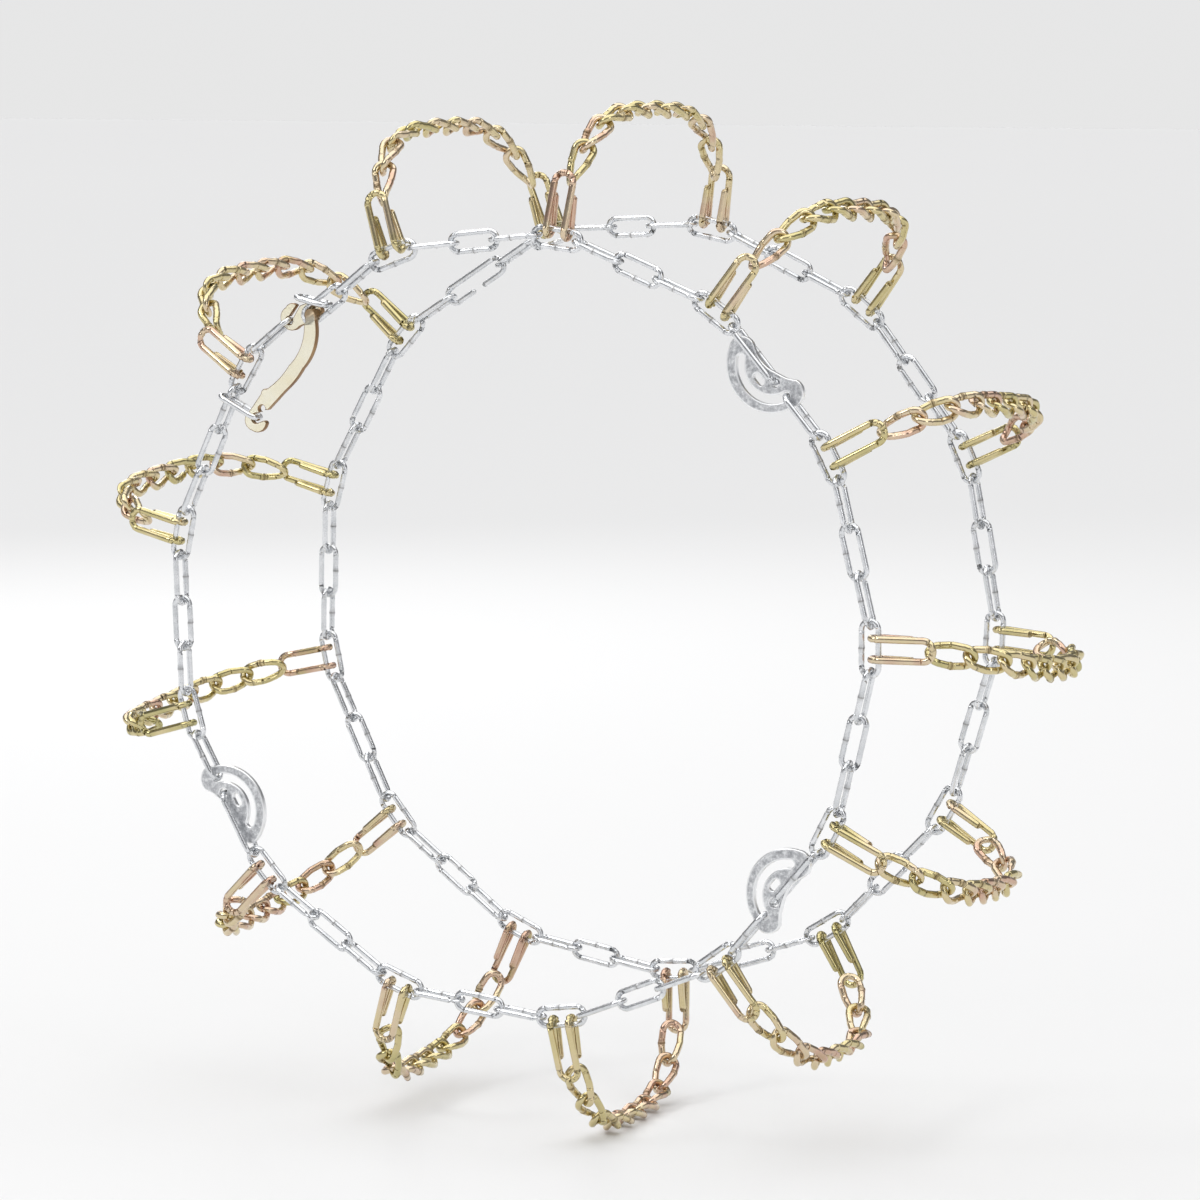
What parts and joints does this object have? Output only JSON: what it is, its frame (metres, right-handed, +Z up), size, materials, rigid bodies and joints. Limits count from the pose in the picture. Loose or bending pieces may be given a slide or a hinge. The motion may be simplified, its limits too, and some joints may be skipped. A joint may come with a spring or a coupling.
{
  "type": "tire snow chain",
  "caption": "Ladder-pattern tyre snow chain in its fitted shape: twisted cross chains on hooks between two side chains, with tensioning cams and an over-centre lever latch.",
  "frame": {"origin": "centre of the wheel on its axle, at the middle plane of the tyre", "axes": "+Y along the axle towards the vehicle, so -Y is the outer side with the cams and the latch; +Z up; +X to the right seen from outside"},
  "size_m": [0.8211, 0.2618, 0.8244],
  "materials": {
    "zinc_bright": "bright zinc plating, satin, weld beads",
    "cam_zinc": "stamped plate, bright zinc plating",
    "zinc_yellow": "yellow chromate zinc with faint iridescence",
    "lever_gold": "pale yellow chromate zinc, polished faces"
  },
  "bodies": {
    "side_chains": {"outer_side_chain_1": "zinc_bright", "outer_side_chain_2": "zinc_bright", "outer_side_chain_3": "zinc_bright", "outer_side_chain_4": "zinc_bright", "inner_side_chain": "zinc_bright", "inner_fastener": "zinc_bright", "lever_link": "zinc_bright", "cam_1_pivot_link": "zinc_bright", "cam_2_pivot_link": "zinc_bright", "cam_3_pivot_link": "zinc_bright", "cam_1_slot_link": "zinc_bright", "cam_2_slot_link": "zinc_bright", "cam_3_slot_link": "zinc_bright"},
    "latch_chain_end": {"latch_chain_end": "zinc_bright", "latch_ring": "zinc_bright"},
    "keeper_ring": {"keeper_ring": "zinc_bright"},
    "lever": {"lever": "lever_gold"},
    "cam_1": {"cam_1": "cam_zinc"},
    "cam_2": {"cam_2": "cam_zinc"},
    "cam_3": {"cam_3": "cam_zinc"},
    "cross_chain_01": {"cross_chain_01": "zinc_yellow", "outer_hook_01": "zinc_yellow", "inner_hook_01": "zinc_yellow"},
    "cross_chain_02": {"cross_chain_02": "zinc_yellow", "outer_hook_02": "zinc_yellow", "inner_hook_02": "zinc_yellow"},
    "cross_chain_03": {"cross_chain_03": "zinc_yellow", "outer_hook_03": "zinc_yellow", "inner_hook_03": "zinc_yellow"},
    "cross_chain_04": {"cross_chain_04": "zinc_yellow", "outer_hook_04": "zinc_yellow", "inner_hook_04": "zinc_yellow"},
    "cross_chain_05": {"cross_chain_05": "zinc_yellow", "outer_hook_05": "zinc_yellow", "inner_hook_05": "zinc_yellow"},
    "cross_chain_06": {"cross_chain_06": "zinc_yellow", "outer_hook_06": "zinc_yellow", "inner_hook_06": "zinc_yellow"},
    "cross_chain_07": {"cross_chain_07": "zinc_yellow", "outer_hook_07": "zinc_yellow", "inner_hook_07": "zinc_yellow"},
    "cross_chain_08": {"cross_chain_08": "zinc_yellow", "outer_hook_08": "zinc_yellow", "inner_hook_08": "zinc_yellow"},
    "cross_chain_09": {"cross_chain_09": "zinc_yellow", "outer_hook_09": "zinc_yellow", "inner_hook_09": "zinc_yellow"},
    "cross_chain_10": {"cross_chain_10": "zinc_yellow", "outer_hook_10": "zinc_yellow", "inner_hook_10": "zinc_yellow"},
    "cross_chain_11": {"cross_chain_11": "zinc_yellow", "outer_hook_11": "zinc_yellow", "inner_hook_11": "zinc_yellow"},
    "cross_chain_12": {"cross_chain_12": "zinc_yellow", "outer_hook_12": "zinc_yellow", "inner_hook_12": "zinc_yellow"},
    "cross_chain_13": {"cross_chain_13": "zinc_yellow", "outer_hook_13": "zinc_yellow", "inner_hook_13": "zinc_yellow"}
  },
  "joints": [
    {"name": "cam_1_turn", "type": "hinge", "parent": "side_chains", "child": "cam_1", "pos_m": [0.22919, -0.118, 0.20027], "axis": [0, -1, 0], "range_deg": [0, 60]},
    {"name": "cam_2_turn", "type": "hinge", "parent": "side_chains", "child": "cam_2", "pos_m": [0.23002, -0.118, -0.19931], "axis": [0, -1, 0], "range_deg": [0, 60]},
    {"name": "cam_3_turn", "type": "hinge", "parent": "side_chains", "child": "cam_3", "pos_m": [-0.26518, -0.118, -0.14937], "axis": [0, -1, 0], "range_deg": [0, 60]},
    {"name": "cross_chain_01_swing", "type": "hinge", "parent": "side_chains", "child": "cross_chain_01", "pos_m": [-0.09933, 0, 0.30046], "axis": [0.0723, 0.9968, 0.0341], "range_deg": [-2.5, 2.5]},
    {"name": "cross_chain_02_swing", "type": "hinge", "parent": "side_chains", "child": "cross_chain_02", "pos_m": [0.05082, 0, 0.31237], "axis": [0.0749, 0.9972, -0.0023], "range_deg": [-2.5, 2.5]},
    {"name": "cross_chain_03_swing", "type": "hinge", "parent": "side_chains", "child": "cross_chain_03", "pos_m": [0.18947, 0, 0.25351], "axis": [0.0613, 0.9976, -0.0336], "range_deg": [-2.5, 2.5]},
    {"name": "cross_chain_04_swing", "type": "hinge", "parent": "side_chains", "child": "cross_chain_04", "pos_m": [0.2841, 0, 0.13935], "axis": [0.0459, 0.9964, -0.0715], "range_deg": [-2.5, 2.5]},
    {"name": "cross_chain_05_swing", "type": "hinge", "parent": "side_chains", "child": "cross_chain_05", "pos_m": [0.31636, 0, -0.00777], "axis": [0.0078, 0.9968, -0.0796], "range_deg": [-2.5, 2.5]},
    {"name": "cross_chain_06_swing", "type": "hinge", "parent": "side_chains", "child": "cross_chain_06", "pos_m": [0.27695, 0, -0.15314], "axis": [-0.0274, 0.9972, -0.0697], "range_deg": [-2.5, 2.5]},
    {"name": "cross_chain_07_swing", "type": "hinge", "parent": "side_chains", "child": "cross_chain_07", "pos_m": [0.17676, 0, -0.26244], "axis": [-0.0688, 0.9959, -0.058], "range_deg": [-2.5, 2.5]},
    {"name": "cross_chain_08_swing", "type": "hinge", "parent": "side_chains", "child": "cross_chain_08", "pos_m": [0.03542, 0, -0.31445], "axis": [-0.0828, 0.9964, -0.0191], "range_deg": [-2.5, 2.5]},
    {"name": "cross_chain_09_swing", "type": "hinge", "parent": "side_chains", "child": "cross_chain_09", "pos_m": [-0.11396, 0, -0.29523], "axis": [-0.0775, 0.9968, 0.0195], "range_deg": [-2.5, 2.5]},
    {"name": "cross_chain_10_swing", "type": "hinge", "parent": "side_chains", "child": "cross_chain_10", "pos_m": [-0.23754, 0, -0.20912], "axis": [-0.0564, 0.9972, 0.0493], "range_deg": [-2.5, 2.5]},
    {"name": "cross_chain_11_swing", "type": "hinge", "parent": "side_chains", "child": "cross_chain_11", "pos_m": [-0.30667, 0, -0.07795], "axis": [-0.0315, 0.9959, 0.0843], "range_deg": [-2.5, 2.5]},
    {"name": "cross_chain_12_swing", "type": "hinge", "parent": "side_chains", "child": "cross_chain_12", "pos_m": [-0.30799, 0, 0.07265], "axis": [0.0099, 0.9964, 0.0844], "range_deg": [-2.5, 2.5]},
    {"name": "cross_chain_13_swing", "type": "hinge", "parent": "side_chains", "child": "cross_chain_13", "pos_m": [-0.2408, 0, 0.20714], "axis": [0.0552, 0.9964, 0.0636], "range_deg": [-2.5, 2.5]},
    {"name": "lever_press", "type": "hinge", "parent": "side_chains", "child": "lever", "pos_m": [-0.20081, -0.11598, 0.23633], "axis": [0, 1, 0], "range_deg": [0, 4]},
    {"name": "keeper_release", "type": "hinge", "parent": "side_chains", "child": "keeper_ring", "pos_m": [-0.25474, -0.118, 0.17236], "axis": [0, -1, 0], "range_deg": [0, 8.4]},
    {"name": "chain_end_follow", "type": "hinge", "parent": "side_chains", "child": "latch_chain_end", "pos_m": [-0.12293, -0.118, 0.2835], "axis": [0, -1, 0], "range_deg": [0, 1.16]}
  ],
  "couplings": [
    {"joint": "keeper_release", "follows": "lever_press", "ratio": 2.1},
    {"joint": "chain_end_follow", "follows": "lever_press", "ratio": 0.29}
  ]
}
